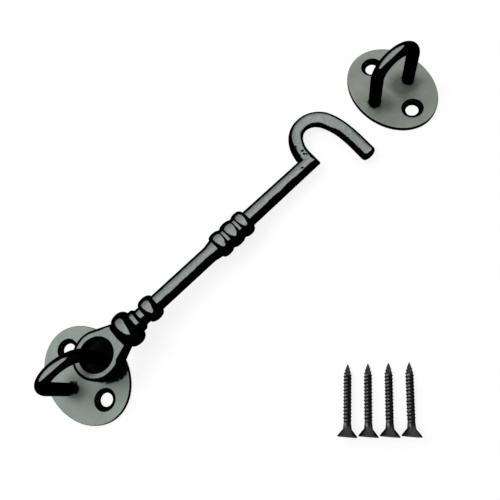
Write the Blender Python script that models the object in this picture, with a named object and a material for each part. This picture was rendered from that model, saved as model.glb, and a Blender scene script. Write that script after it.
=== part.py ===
# Hook and eye latch: a cast cabin hook whose eye hangs on a stapled oval plate,
# a second stapled plate as its keeper, and four countersunk wood screws.
# Lengths are in metres. The plates lie on Z = 0 and the hook's shaft runs along +X.
import math

import bmesh
import bpy
from mathutils import Matrix, Vector
from mathutils.geometry import interpolate_bezier

for old in list(bpy.data.objects):
    bpy.data.objects.remove(old, do_unlink=True)

MM = 0.001

# Oval plates
PLATE_LENGTH = 44.5 * MM
PLATE_WIDTH = 33.4 * MM
PLATE_THICKNESS = 2.0 * MM
PLATE_ROUNDING = 0.6 * MM
HOLE_SPACING = 27.3 * MM
HOLE_RADIUS = 2.7 * MM
COUNTERSINK_RADIUS = 4.45 * MM
COUNTERSINK_DEPTH = 1.5 * MM

# Staples, each riveted through its plate
STAPLE_RADIUS = 2.65 * MM
STAPLE_SPAN = 17.6 * MM
STAPLE_HEIGHT = 26.8 * MM
TENON_RADIUS = 1.9 * MM
PEENED_RADIUS = 2.7 * MM
PEENED_DEPTH = 0.8 * MM
FIT_GAP = 0.3 * MM

# Eye and neck of the hook
EYE_PLAY = 4.25 * MM
EYE_WALL = 3.0 * MM
EYE_THICKNESS = 6.0 * MM
EYE_EDGE_ROUNDING = 0.5 * MM
EYE_BORE_ROUNDING = 0.35 * MM
EYE_SLACK_ALONG = 2.9 * MM
EYE_SLACK_ACROSS = -2.0 * MM
NECK_LENGTH = 10.35 * MM
NECK_WIDTH = 10.4 * MM
NECK_SEAT = 0.6 * MM

# Turned shaft, from the neck to the corner
COLLAR_RADIUS = 5.75 * MM
COLLAR_LENGTH = 1.2 * MM
LARGE_BEAD_RADIUS = 7.6 * MM
LARGE_BEAD_LENGTH = 7.2 * MM
SHOULDER_RADIUS = 4.9 * MM
SHOULDER_LENGTH = 1.4 * MM
COVE_RADIUS = 3.75 * MM
COVE_LENGTH = 3.3 * MM
SMALL_BEAD_RADIUS = 5.4 * MM
SMALL_BEAD_LENGTH = 6.6 * MM
SHAFT_RADIUS = 3.6 * MM
UPPER_SHAFT_LENGTH = 28.4 * MM
FLARE_LENGTH = 3.6 * MM
FLARE_RADIUS = 4.3 * MM
GROUP_BEAD_COUNT = 3
GROUP_BEAD_RADIUS = 5.6 * MM
GROUP_BEAD_LENGTH = 5.2 * MM
FILLET_RADIUS = 4.9 * MM
FILLET_LENGTH = 1.1 * MM
LOWER_SHAFT_LENGTH = 35.5 * MM
CORNER_RADIUS = 3.4 * MM

# Bend of the hook beyond the corner, in the plane of the eye
BEND_RISE = 15.4 * MM
BEND_REACH = 20.8 * MM
TIP_DROP = 16.0 * MM
TIP_LEAN = 1.2 * MM
CREST_RADIUS = 3.0 * MM
SHOULDER_BEND_RADIUS = 3.45 * MM
TIP_RADIUS = 3.3 * MM
TIP_ROUNDING = 1.4 * MM

# How the hook lies
SWING_CLEARANCE = 0.4 * MM
TABLE_CLEARANCE = 0.1 * MM

# Where the keeper lies beyond the hook
KEEPER_GAP = 9.3 * MM
KEEPER_TURN = math.radians(-9.5)

# How far the keeper's staple stands off the middle of its plate
KEEPER_STAPLE_SIDEWAYS = -1.6 * MM
KEEPER_STAPLE_LENGTHWAYS = -1.6 * MM

# Wood screws, laid side by side
SCREW_COUNT = 4
SCREW_LENGTH = 25.4 * MM
SCREW_HEAD_RADIUS = 3.45 * MM
SCREW_RIM = 0.4 * MM
SCREW_CONE = 2.7 * MM
SCREW_SHANK_RADIUS = 1.55 * MM
SCREW_POINT_LENGTH = 4.2 * MM
SCREW_RECESS_SPAN = 3.6 * MM
SCREW_RECESS_WIDTH = 0.9 * MM
SCREW_RECESS_DEPTH = 1.6 * MM
SCREW_ROW_GAP = 0.4 * MM
SCREW_ROW_DISTANCE = 85.7 * MM
SCREW_ROW_ALONG = 77.5 * MM
SCREW_ROW_TURN = math.radians(43.0)
SCREW_ROW_SKEW = math.radians(5.0)

# Fineness of the round shapes
HOOK_SIDES = 24
ROD_SIDES = 20
SCREW_SIDES = 20
OVAL_SIDES = 72
EYE_SIDES = 40
HOLE_SIDES = 28
BEAD_STEPS = 10
ROUND_STEPS = 3

# Derived sizes
EYE_BORE_RADIUS = STAPLE_RADIUS + EYE_PLAY
EYE_RADIUS = EYE_BORE_RADIUS + EYE_WALL
LEG_REACH = STAPLE_SPAN / 2
TENON_HOLE_RADIUS = TENON_RADIUS + FIT_GAP


def make_material(name, colour, roughness, metallic):
    material = bpy.data.materials.new(name)
    material.use_nodes = True
    shader = material.node_tree.nodes["Principled BSDF"]
    shader.inputs["Base Color"].default_value = (*colour, 1.0)
    shader.inputs["Roughness"].default_value = roughness
    shader.inputs["Metallic"].default_value = metallic
    return material


def make_object(name, bm, parent=None, material=None):
    bmesh.ops.recalc_face_normals(bm, faces=bm.faces)
    mesh = bpy.data.meshes.new(name)
    bm.to_mesh(mesh)
    bm.free()
    mesh.shade_smooth()
    mesh.set_sharp_from_angle(angle=math.radians(38))
    if material:
        mesh.materials.append(material)
    return place_mesh(name, mesh, parent)


def place_mesh(name, mesh, parent):
    piece = bpy.data.objects.new(name, mesh)
    bpy.context.scene.collection.objects.link(piece)
    piece.parent = parent
    return piece


def make_empty(name, place, turn=0.0):
    empty = bpy.data.objects.new(name, None)
    bpy.context.scene.collection.objects.link(empty)
    empty.location = place
    empty.rotation_euler = (0.0, 0.0, turn)
    return empty


def hide_cutter(cutter):
    cutter.hide_render = True
    cutter.display_type = "WIRE"


def combine(piece, other, operation):
    hide_cutter(other)
    boolean = piece.modifiers.new(other.name, "BOOLEAN")
    boolean.operation = operation
    boolean.object = other


def loft(bm, rings):
    # Joins equal rings of points into one closed body with a cap at each end.
    loops = [[bm.verts.new(point) for point in ring] for ring in rings]
    count = len(loops[0])
    for lower, upper in zip(loops, loops[1:]):
        for i in range(count):
            j = (i + 1) % count
            bm.faces.new((lower[i], lower[j], upper[j], upper[i]))
    bm.faces.new(list(reversed(loops[0])))
    bm.faces.new(loops[-1])


def turn_about_z(bm, profile, sides):
    # profile holds (height, radius) pairs from one end to the other.
    rings = []
    for height, radius in profile:
        ring = []
        for i in range(sides):
            angle = 2 * math.pi * i / sides
            ring.append(Vector((radius * math.cos(angle), radius * math.sin(angle), height)))
        rings.append(ring)
    loft(bm, rings)


def sweep(bm, stations, normal, sides):
    # stations holds (point, direction in, direction out, radius); the path is flat and
    # normal stands square to it. A corner is mitred, so that the rod keeps its thickness.
    rings = []
    for point, before, after, radius in stations:
        along = (before + after).normalized()
        across = normal.cross(along)
        stretch = 1 / max(0.2, along.dot(after))
        ring = []
        for i in range(sides):
            angle = 2 * math.pi * i / sides
            offset = across * (radius * stretch * math.cos(angle)) + normal * (radius * math.sin(angle))
            ring.append(point + offset)
        rings.append(ring)
    loft(bm, rings)


def rounded_end(point, direction, radius, rounding, steps):
    # Stations that close a rod with a flat end and a rounded rim.
    stations = []
    for i in range(1, steps + 1):
        angle = math.pi / 2 * i / steps
        ahead = point + direction * (rounding * math.sin(angle))
        stations.append((ahead, direction, direction, radius - rounding * (1 - math.cos(angle))))
    return stations


# Plates and staples


def oval_points(long_half, short_half, height):
    points = []
    for i in range(OVAL_SIDES):
        angle = 2 * math.pi * i / OVAL_SIDES
        points.append(Vector((short_half * math.cos(angle), long_half * math.sin(angle), height)))
    return points


def make_backplate(name, parent, material, staple_place):
    bm = bmesh.new()
    long_half = PLATE_LENGTH / 2
    short_half = PLATE_WIDTH / 2
    rings = [oval_points(long_half, short_half, 0.0)]
    for i in range(ROUND_STEPS + 1):
        angle = math.pi / 2 * i / ROUND_STEPS
        inset = PLATE_ROUNDING * (1 - math.cos(angle))
        height = PLATE_THICKNESS - PLATE_ROUNDING * (1 - math.sin(angle))
        rings.append(oval_points(long_half - inset, short_half - inset, height))
    loft(bm, rings)
    plate = make_object(name, bm, parent, material)
    combine(plate, make_hole_cutter(name + "_holes", parent, staple_place), "DIFFERENCE")
    return plate


def make_hole_cutter(name, parent, staple_place):
    over = PLATE_THICKNESS
    slope = (COUNTERSINK_RADIUS - HOLE_RADIUS) / COUNTERSINK_DEPTH
    screw_hole = [
        (-over, HOLE_RADIUS),
        (PLATE_THICKNESS - COUNTERSINK_DEPTH, HOLE_RADIUS),
        (PLATE_THICKNESS + over, COUNTERSINK_RADIUS + slope * over),
    ]
    mouth = PEENED_RADIUS + 2 * FIT_GAP
    floor = PEENED_DEPTH + FIT_GAP
    tenon_hole = [
        (-over, mouth + (mouth - TENON_HOLE_RADIUS) / floor * over),
        (floor, TENON_HOLE_RADIUS),
        (PLATE_THICKNESS + over, TENON_HOLE_RADIUS),
    ]
    bm = bmesh.new()
    for side in (-1, 1):
        add_turned(bm, screw_hole, Vector((0.0, side * HOLE_SPACING / 2, 0.0)))
        add_turned(bm, tenon_hole, staple_place + Vector((side * LEG_REACH, 0.0, 0.0)))
    return make_object(name, bm, parent)


def add_turned(bm, profile, place):
    before = set(bm.verts)
    turn_about_z(bm, profile, HOLE_SIDES)
    added = [vert for vert in bm.verts if vert not in before]
    bmesh.ops.translate(bm, verts=added, vec=place)


def staple_leg(side):
    # From the peened end of the tenon up to the start of the arch.
    spring = STAPLE_HEIGHT - LEG_REACH
    shoulder = PLATE_THICKNESS + FIT_GAP
    heights = [
        (FIT_GAP, PEENED_RADIUS),
        (PEENED_DEPTH, TENON_RADIUS),
        (shoulder, TENON_RADIUS),
        (shoulder, STAPLE_RADIUS),
        (spring, STAPLE_RADIUS),
    ]
    up = Vector((0.0, 0.0, 1.0))
    return [(Vector((side * LEG_REACH, 0.0, height)), up, up, radius) for height, radius in heights]


def make_staple(name, parent, material, staple_place):
    stations = staple_leg(-1)
    spring = STAPLE_HEIGHT - LEG_REACH
    arch_steps = 16
    for i in range(1, arch_steps):
        angle = math.pi * (1 - i / arch_steps)
        point = Vector((LEG_REACH * math.cos(angle), 0.0, spring + LEG_REACH * math.sin(angle)))
        along = Vector((math.sin(angle), 0.0, -math.cos(angle)))
        stations.append((point, along, along, STAPLE_RADIUS))
    down = Vector((0.0, 0.0, -1.0))
    for point, _, _, radius in reversed(staple_leg(1)):
        stations.append((point, down, down, radius))
    bm = bmesh.new()
    sweep(bm, stations, Vector((0.0, 1.0, 0.0)), ROD_SIDES)
    staple = make_object(name, bm, parent, material)
    staple.location = staple_place
    return staple


# Hook


def bead(start, length, foot, crest, far_foot):
    # A half-round swelling between two foot radii.
    profile = []
    for i in range(BEAD_STEPS + 1):
        angle = math.pi * i / BEAD_STEPS
        base = foot if angle < math.pi / 2 else far_foot
        along = start + length / 2 * (1 - math.cos(angle))
        profile.append((along, base + (crest - base) * math.sin(angle)))
    return profile


def cove(start, length, rim, floor, far_rim):
    # A hollow that runs smoothly from one rim down to its floor and up to the other.
    profile = []
    for i in range(BEAD_STEPS + 1):
        t = i / BEAD_STEPS
        base = rim if t < 0.5 else far_rim
        depth = (1 - math.cos(2 * math.pi * t)) / 2
        profile.append((start + length * t, base + (floor - base) * depth))
    return profile


def shaft_profile():
    # (distance from the eye's centre, radius) from the neck to just before the corner.
    at = NECK_LENGTH
    profile = [(at, COLLAR_RADIUS), (at + COLLAR_LENGTH, COLLAR_RADIUS)]
    at += COLLAR_LENGTH
    profile += bead(at, LARGE_BEAD_LENGTH, COLLAR_RADIUS, LARGE_BEAD_RADIUS, SHOULDER_RADIUS)[1:]
    at += LARGE_BEAD_LENGTH
    profile.append((at + SHOULDER_LENGTH, SHOULDER_RADIUS))
    at += SHOULDER_LENGTH
    profile += cove(at, COVE_LENGTH, SHOULDER_RADIUS, COVE_RADIUS, COVE_RADIUS)[1:]
    at += COVE_LENGTH
    profile += bead(at, SMALL_BEAD_LENGTH, COVE_RADIUS, SMALL_BEAD_RADIUS, SHAFT_RADIUS)[1:]
    at += SMALL_BEAD_LENGTH
    profile.append((at + UPPER_SHAFT_LENGTH, SHAFT_RADIUS))
    at += UPPER_SHAFT_LENGTH
    profile.append((at + FLARE_LENGTH, FLARE_RADIUS))
    at += FLARE_LENGTH
    for i in range(GROUP_BEAD_COUNT):
        first = i == 0
        last = i == GROUP_BEAD_COUNT - 1
        foot = FLARE_RADIUS if first else FILLET_RADIUS
        far_foot = SHAFT_RADIUS if last else FILLET_RADIUS
        profile += bead(at, GROUP_BEAD_LENGTH, foot, GROUP_BEAD_RADIUS, far_foot)[1:]
        at += GROUP_BEAD_LENGTH
        if not last:
            profile.append((at + FILLET_LENGTH, FILLET_RADIUS))
            at += FILLET_LENGTH
    mitre = 1.2 * CORNER_RADIUS
    profile.append((at + LOWER_SHAFT_LENGTH - mitre, CORNER_RADIUS))
    return profile, at + LOWER_SHAFT_LENGTH


def bend_stations(corner):
    # The rod's path from the corner over the crest, down the back and to the tip.
    rise_start = 1.25 * CORNER_RADIUS
    knots = [
        (0.017 * BEND_REACH, rise_start, 80, CORNER_RADIUS),
        (0.526 * BEND_REACH, BEND_RISE, 0, CREST_RADIUS),
        (0.928 * BEND_REACH, 0.6 * BEND_RISE, -70, SHOULDER_BEND_RADIUS),
        (BEND_REACH, -0.054 * TIP_DROP, -90, TIP_RADIUS),
        (BEND_REACH - TIP_LEAN, TIP_ROUNDING - TIP_DROP, -96, TIP_RADIUS),
    ]
    stations = []
    for (x0, y0, turn0, r0), (x1, y1, turn1, r1) in zip(knots, knots[1:]):
        start = Vector((corner + x0, y0, 0.0))
        end = Vector((corner + x1, y1, 0.0))
        swing = math.radians(abs(turn1 - turn0))
        handle = (end - start).length / (3 * math.cos(swing / 4) ** 2)
        steps = max(3, round(abs(turn1 - turn0) / 9))
        leave = start + handle * heading(turn0)
        arrive = end - handle * heading(turn1)
        points = interpolate_bezier(start, leave, arrive, end, steps + 1)
        for i in range(0 if not stations else 1, steps + 1):
            t = i / steps
            before = (points[i] - points[i - 1]).normalized() if i else heading(turn0)
            after = (points[i + 1] - points[i]).normalized() if i < steps else heading(turn1)
            stations.append((points[i], before, after, r0 + (r1 - r0) * t))
    end, _, along, radius = stations[-1]
    return stations + rounded_end(end, along, radius, TIP_ROUNDING, ROUND_STEPS)


def heading(degrees):
    angle = math.radians(degrees)
    return Vector((math.cos(angle), math.sin(angle), 0.0))


def hook_stations():
    profile, corner = shaft_profile()
    along = Vector((1.0, 0.0, 0.0))
    stations = [(Vector((x, 0.0, 0.0)), along, along, radius) for x, radius in profile]
    bend = bend_stations(corner)
    corner_point = Vector((corner, 0.0, 0.0))
    up = (bend[0][0] - corner_point).normalized()
    stations.append((corner_point, along, up, CORNER_RADIUS))
    return stations + bend, corner


def eye_outline():
    # A round eye that narrows along two tangent lines to the neck, which runs into the bead.
    half = NECK_WIDTH / 2
    end = NECK_LENGTH + COLLAR_LENGTH + NECK_SEAT
    tangent = math.atan2(half, end) + math.acos(EYE_RADIUS / math.hypot(half, end))
    steps = 40
    points = [Vector((end, -half, 0.0)), Vector((end, half, 0.0))]
    for i in range(steps + 1):
        angle = tangent + (2 * math.pi - 2 * tangent) * i / steps
        points.append(Vector((EYE_RADIUS * math.cos(angle), EYE_RADIUS * math.sin(angle), 0.0)))
    return points


def make_eye_blank(parent):
    bm = bmesh.new()
    low = [bm.verts.new(point - Vector((0.0, 0.0, EYE_THICKNESS / 2))) for point in eye_outline()]
    base = bm.faces.new(low)
    grown = bmesh.ops.extrude_face_region(bm, geom=[base])
    top = [item for item in grown["geom"] if isinstance(item, bmesh.types.BMVert)]
    bmesh.ops.translate(bm, verts=top, vec=(0.0, 0.0, EYE_THICKNESS))
    rims = [edge for edge in bm.edges if abs(edge.verts[0].co.z - edge.verts[1].co.z) < EYE_THICKNESS / 2]
    bmesh.ops.bevel(bm, geom=rims, offset=EYE_EDGE_ROUNDING, segments=ROUND_STEPS, profile=0.5, affect="EDGES")
    return make_object("hook_eye_blank", bm, parent)


def make_eye_bore(parent):
    half = EYE_THICKNESS / 2
    over = EYE_THICKNESS
    upper = []
    for i in range(ROUND_STEPS + 1):
        angle = math.pi / 2 * i / ROUND_STEPS
        flare = EYE_BORE_ROUNDING * (1 - math.cos(angle))
        upper.append((half - EYE_BORE_ROUNDING * (1 - math.sin(angle)), EYE_BORE_RADIUS + flare))
    upper.append((half + over, EYE_BORE_RADIUS + EYE_BORE_ROUNDING))
    lower = [(-height, radius) for height, radius in reversed(upper)]
    bm = bmesh.new()
    turn_about_z(bm, lower + upper, EYE_SIDES)
    return make_object("hook_eye_bore", bm, parent)


def make_hook(pivot, material):
    stations, corner = hook_stations()
    bm = bmesh.new()
    sweep(bm, stations, Vector((0.0, 0.0, 1.0)), HOOK_SIDES)
    hook = make_object("hook", bm, pivot, material)
    combine(hook, make_eye_blank(hook), "UNION")
    combine(hook, make_eye_bore(hook), "DIFFERENCE")
    large_bead = NECK_LENGTH + COLLAR_LENGTH + LARGE_BEAD_LENGTH / 2
    bead_height = PLATE_THICKNESS + SWING_CLEARANCE + LARGE_BEAD_RADIUS
    end_height = TABLE_CLEARANCE + SHOULDER_BEND_RADIUS
    droop = math.asin((bead_height - end_height) / (corner + BEND_REACH - large_bead))
    eye_height = bead_height + large_bead * math.sin(droop)
    hook.location = (EYE_SLACK_ALONG, EYE_SLACK_ACROSS, eye_height)
    hook.rotation_euler = (0.0, droop, 0.0)
    return corner + BEND_REACH + TIP_RADIUS


# Screws


def screw_profile():
    neck = SCREW_RIM + SCREW_CONE
    return [
        (0.0, SCREW_HEAD_RADIUS),
        (SCREW_RIM, SCREW_HEAD_RADIUS),
        (neck, SCREW_SHANK_RADIUS),
        (SCREW_LENGTH - SCREW_POINT_LENGTH, SCREW_SHANK_RADIUS),
        (SCREW_LENGTH - SCREW_POINT_LENGTH / 3, SCREW_SHANK_RADIUS * 0.5),
        (SCREW_LENGTH, SCREW_SHANK_RADIUS * 0.1),
    ]


def make_screw_mesh(material):
    bm = bmesh.new()
    turn_about_z(bm, screw_profile(), SCREW_SIDES)
    piece = make_object("screw_blank", bm, None, material)
    mesh = piece.data
    bpy.data.objects.remove(piece)
    return mesh


def make_recess_mesh():
    # A tapered cross, wide at the head's face and narrow at its floor.
    bm = bmesh.new()
    half = SCREW_RECESS_SPAN / 2
    web = SCREW_RECESS_WIDTH / 2
    rings = []
    for height, scale in ((-SCREW_RECESS_DEPTH, 1.3), (SCREW_RECESS_DEPTH, 0.45)):
        reach = half * scale
        ring = []
        for quarter in range(4):
            spin = Matrix.Rotation(quarter * math.pi / 2, 3, "Z")
            for x, y in ((web, web), (web, reach), (-web, reach)):
                ring.append(spin @ Vector((x, y, 0.0)) + Vector((0.0, 0.0, height)))
        rings.append(ring)
    loft(bm, rings)
    piece = make_object("recess_blank", bm)
    mesh = piece.data
    bpy.data.objects.remove(piece)
    return mesh


def make_screws(centre, material):
    screw_mesh = make_screw_mesh(material)
    recess_mesh = make_recess_mesh()
    pitch = 2 * SCREW_HEAD_RADIUS + SCREW_ROW_GAP
    # The screw lies on its head's rim and on the end of its shank.
    lean = math.asin((SCREW_HEAD_RADIUS - SCREW_SHANK_RADIUS) / (SCREW_LENGTH - SCREW_POINT_LENGTH))
    height = SCREW_HEAD_RADIUS * math.cos(lean) + TABLE_CLEARANCE
    along = Vector((math.cos(SCREW_ROW_TURN), math.sin(SCREW_ROW_TURN), 0.0))
    row = Vector((math.sin(SCREW_ROW_TURN), -math.cos(SCREW_ROW_TURN), 0.0))
    row += along * math.tan(SCREW_ROW_SKEW)
    for i in range(SCREW_COUNT):
        place = centre + row * (pitch * (i - (SCREW_COUNT - 1) / 2)) - along * (SCREW_LENGTH / 2)
        rest = make_empty("screw_%d_place" % (i + 1), (place.x, place.y, height), SCREW_ROW_TURN)
        screw = place_mesh("screw_%d" % (i + 1), screw_mesh, rest)
        screw.rotation_euler = (0.0, math.pi / 2 + lean, 0.0)
        recess = place_mesh("screw_%d_recess" % (i + 1), recess_mesh, screw)
        combine(screw, recess, "DIFFERENCE")


def build():
    plate_grey = make_material("plate_gunmetal", (0.20, 0.21, 0.20), 0.48, 0.6)
    black = make_material("black_metal", (0.035, 0.036, 0.035), 0.36, 0.7)
    screw_black = make_material("screw_black", (0.05, 0.05, 0.055), 0.4, 0.8)
    pivot_set = make_empty("pivot_set", (0.0, 0.0, 0.0))
    middle = Vector((0.0, 0.0, 0.0))
    make_backplate("pivot_backplate", pivot_set, plate_grey, middle)
    make_staple("pivot_staple", pivot_set, black, middle)
    # The hook turns about the staple's leg that stands in its eye.
    swing_axis = make_empty("hook_swing_axis", (LEG_REACH, 0.0, 0.0))
    reach = make_hook(swing_axis, black)
    keeper_at = LEG_REACH + EYE_SLACK_ALONG + reach + KEEPER_GAP + PLATE_WIDTH / 2
    keeper_set = make_empty("keeper_set", (keeper_at, EYE_SLACK_ACROSS, 0.0), KEEPER_TURN)
    off_middle = Vector((KEEPER_STAPLE_SIDEWAYS, KEEPER_STAPLE_LENGTHWAYS, 0.0))
    make_backplate("keeper_backplate", keeper_set, plate_grey, off_middle)
    make_staple("keeper_staple", keeper_set, black, off_middle)
    make_screws(Vector((SCREW_ROW_ALONG, -SCREW_ROW_DISTANCE, 0.0)), screw_black)


build()
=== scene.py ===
# Hook and eye latch laid out on a pale table: a cast cabin hook whose eye hangs on a
# stapled oval plate, a second stapled plate as its keeper, and four wood screws.
# Lengths are in metres. The plates lie on Z = 0 and the hook's shaft runs along +X.
import math

import bmesh
import bpy
from mathutils import Matrix, Vector, noise
from mathutils.geometry import interpolate_bezier


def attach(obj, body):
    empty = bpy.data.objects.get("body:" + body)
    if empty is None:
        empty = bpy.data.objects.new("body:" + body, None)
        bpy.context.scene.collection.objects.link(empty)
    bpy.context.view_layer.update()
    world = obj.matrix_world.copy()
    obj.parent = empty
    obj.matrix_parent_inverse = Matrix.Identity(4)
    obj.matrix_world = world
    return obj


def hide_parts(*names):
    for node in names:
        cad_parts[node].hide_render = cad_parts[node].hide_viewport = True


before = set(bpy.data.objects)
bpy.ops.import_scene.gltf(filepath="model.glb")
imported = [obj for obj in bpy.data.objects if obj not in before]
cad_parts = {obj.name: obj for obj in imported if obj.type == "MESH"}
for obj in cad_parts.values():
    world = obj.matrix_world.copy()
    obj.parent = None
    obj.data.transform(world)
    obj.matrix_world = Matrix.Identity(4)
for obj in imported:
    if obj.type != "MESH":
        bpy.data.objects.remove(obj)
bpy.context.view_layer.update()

MM = 0.001

# Oval plates
PLATE_LENGTH = 44.5 * MM
PLATE_WIDTH = 33.4 * MM
PLATE_THICKNESS = 2.0 * MM
PLATE_ROUNDING = 0.6 * MM
PLATE_BACK_ROUNDING = 0.2 * MM
PLATE_TRIM = 0.025 * MM
HOLE_SPACING = 27.3 * MM
HOLE_RADIUS = 2.7 * MM
COUNTERSINK_RADIUS = 4.45 * MM
COUNTERSINK_DEPTH = 1.5 * MM
COUNTERSINK_EDGE = 0.15 * MM

# Staples, riveted through the plates
STAPLE_RADIUS = 2.65 * MM
STAPLE_SPAN = 17.6 * MM
STAPLE_HEIGHT = 26.8 * MM
TENON_RADIUS = 1.9 * MM
LEG_END_ROUNDING = 0.7 * MM
LEG_END_HEIGHT = 2.5 * MM
PEENED_RADIUS = 2.7 * MM
PEENED_DEPTH = 0.8 * MM
PEENED_GAP = 0.05 * MM

# Eye and neck of the hook
EYE_BORE_RADIUS = 6.9 * MM
EYE_WALL = 3.0 * MM
EYE_THICKNESS = 6.0 * MM
EYE_EDGE_ROUNDING = 0.5 * MM
EYE_BORE_ROUNDING = 0.35 * MM
NECK_LENGTH = 10.35 * MM
NECK_WIDTH = 10.4 * MM
NECK_SEAT = 0.6 * MM

# Turned shaft, from the neck to the corner
COLLAR_RADIUS = 5.75 * MM
COLLAR_LENGTH = 1.2 * MM
LARGE_BEAD_RADIUS = 7.6 * MM
LARGE_BEAD_LENGTH = 7.2 * MM
SHOULDER_RADIUS = 4.9 * MM
SHOULDER_LENGTH = 1.4 * MM
COVE_RADIUS = 3.75 * MM
COVE_LENGTH = 3.3 * MM
SMALL_BEAD_RADIUS = 5.4 * MM
SMALL_BEAD_LENGTH = 6.6 * MM
SHAFT_RADIUS = 3.6 * MM
UPPER_SHAFT_LENGTH = 28.4 * MM
FLARE_LENGTH = 3.6 * MM
FLARE_RADIUS = 4.3 * MM
GROUP_BEAD_COUNT = 3
GROUP_BEAD_RADIUS = 5.6 * MM
GROUP_BEAD_LENGTH = 5.2 * MM
FILLET_RADIUS = 4.9 * MM
FILLET_LENGTH = 1.1 * MM
LOWER_SHAFT_LENGTH = 35.5 * MM
CORNER_RADIUS = 3.4 * MM

# Bend of the hook beyond the corner
BEND_RISE = 15.4 * MM
BEND_REACH = 20.8 * MM
TIP_DROP = 16.0 * MM
TIP_LEAN = 1.2 * MM
CREST_RADIUS = 3.0 * MM
SHOULDER_BEND_RADIUS = 3.45 * MM
TIP_RADIUS = 3.3 * MM
TIP_ROUNDING = 1.4 * MM

# Where the hook lies
LEG_REACH = STAPLE_SPAN / 2
EYE_RADIUS = EYE_BORE_RADIUS + EYE_WALL
EYE_SLACK_ALONG = 2.9 * MM
EYE_SLACK_ACROSS = -2.0 * MM
SWING_CLEARANCE = 0.4 * MM
TABLE_CLEARANCE = 0.1 * MM

# Where the keeper lies
KEEPER_PLACE = Vector((177.15 * MM, -2.0 * MM, 0.0))
KEEPER_TURN = math.radians(-9.5)
KEEPER_STAPLE_PLACE = Vector((-1.6, -1.6, 0.0)) * MM

# Wood screws
SCREW_COUNT = 4
SCREW_LENGTH = 25.4 * MM
SCREW_HEAD_RADIUS = 3.45 * MM
SCREW_RIM = 0.4 * MM
SCREW_CONE = 2.7 * MM
SCREW_SHANK_RADIUS = 1.55 * MM
SCREW_CORE_RADIUS = 1.3 * MM
SCREW_POINT_LENGTH = 4.2 * MM
SCREW_RECESS_SPAN = 3.6 * MM
SCREW_RECESS_WIDTH = 0.9 * MM
SCREW_RECESS_DEPTH = 1.6 * MM
THREAD_PITCH = 1.2 * MM
THREAD_BASE = 0.62 * MM
THREAD_CREST = 0.16 * MM
THREAD_DEPTH = 0.38 * MM
SCREW_ROW_GAP = 0.4 * MM
SCREW_ROW_PLACE = Vector((77.5 * MM, -85.7 * MM, 0.0))
SCREW_ROW_TURN = math.radians(43.0)
SCREW_ROW_SKEW = math.radians(5.0)

# Where a highlight is painted on the hook's black finish, standing in for the light's reflection.
# Along its shaft and bend that goes by how the surface leans: the part of its normal across the
# rod is within a half width of a middle, and the more of the normal that points along the rod, the
# narrower the patch.
EYE_HIGHLIGHT_INSET = 0.95 * MM
EYE_HIGHLIGHT_FADE = 2 * MM
EYE_LEAN = 0.25
STRIP_MIDDLE = -0.01
STRIP_HALF = 0.42
FLARE_LEAN = 0.2
BEAD_MIDDLE = -0.1
BEAD_HALF = 0.5
BEAD_FADE = 0.6 * MM
BEAD_TAPER = 1.7
BEND_MIDDLE = 0.03
BEND_MIDDLE_DRIFT = Vector((-0.14, -0.23, 0.0))
BEND_HALF = 0.5
BEND_HALF_DRIFT = Vector((0.03, 0.07, 0.0))
BEND_TAPER = 0.8
BEND_FADE = 6 * MM

# The painted highlight's oval on a staple's arch, the rod's unevenness and the casting's pits
STAPLE_HIGHLIGHT_ALONG = math.radians(31.0)
STAPLE_HIGHLIGHT_ACROSS = math.radians(20.0)
ROD_UNEVENNESS = 0.05 * MM
PIT_DEPTH = 0.25 * MM

# Fineness of the shapes
HOOK_SIDES = 64
ROD_SIDES = 48
SCREW_SIDES = 40
OVAL_SIDES = 192
HOLE_SIDES = 72
BORE_SIDES = 128
BEAD_STEPS = 20
ROUND_STEPS = 7
CAST_SPACING = 0.45 * MM
ROD_SPACING = 0.8 * MM
ARCH_STEPS = 48
EYE_STEPS = 110
SHARP_ANGLE = math.radians(38.0)

# A point this little beyond a limit still counts as on it.
NEAR = 0.01 * MM


# Mesh helpers


def make_piece(name, bm):
    # Turns the mesh into a smoothly shaded piece with sharp edges where it folds.
    bmesh.ops.recalc_face_normals(bm, faces=bm.faces)
    mesh = bpy.data.meshes.new(name)
    bm.to_mesh(mesh)
    bm.free()
    mesh.shade_smooth()
    mesh.set_sharp_from_angle(angle=SHARP_ANGLE)
    piece = bpy.data.objects.new(name, mesh)
    bpy.context.scene.collection.objects.link(piece)
    return piece


def loft(bm, rings):
    # A closed skin over rings that have equally many points.
    loops = [[bm.verts.new(point) for point in ring] for ring in rings]
    count = len(loops[0])
    for lower, upper in zip(loops, loops[1:]):
        for i in range(count):
            j = (i + 1) % count
            bm.faces.new((lower[i], lower[j], upper[j], upper[i]))
    bm.faces.new(list(reversed(loops[0])))
    bm.faces.new(loops[-1])


def refine(rings, spacing):
    # Adds rings wherever two of them lie further apart than the spacing.
    fine = [rings[0]]
    for ring, following in zip(rings, rings[1:]):
        reach = max((b - a).length for a, b in zip(ring, following))
        steps = max(1, math.ceil(reach / spacing))
        for i in range(1, steps + 1):
            fine.append([a.lerp(b, i / steps) for a, b in zip(ring, following)])
    return fine


def turned_rings(profile, sides, place=Vector()):
    # profile holds (height, radius) pairs along Z.
    rings = []
    for height, radius in profile:
        ring = []
        for i in range(sides):
            angle = 2 * math.pi * i / sides
            ring.append(place + Vector((radius * math.cos(angle), radius * math.sin(angle), height)))
        rings.append(ring)
    return rings


def swept_rings(stations, normal, sides):
    # stations holds (point, direction in, direction out, radius) along a flat path.
    rings = []
    for point, before, after, radius in stations:
        along = (before + after).normalized()
        across = normal.cross(along)
        stretch = 1 / max(0.2, along.dot(after))
        ring = []
        for i in range(sides):
            angle = 2 * math.pi * i / sides
            offset = across * (radius * stretch * math.cos(angle)) + normal * (radius * math.sin(angle))
            ring.append(point + offset)
        rings.append(ring)
    return rings


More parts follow.
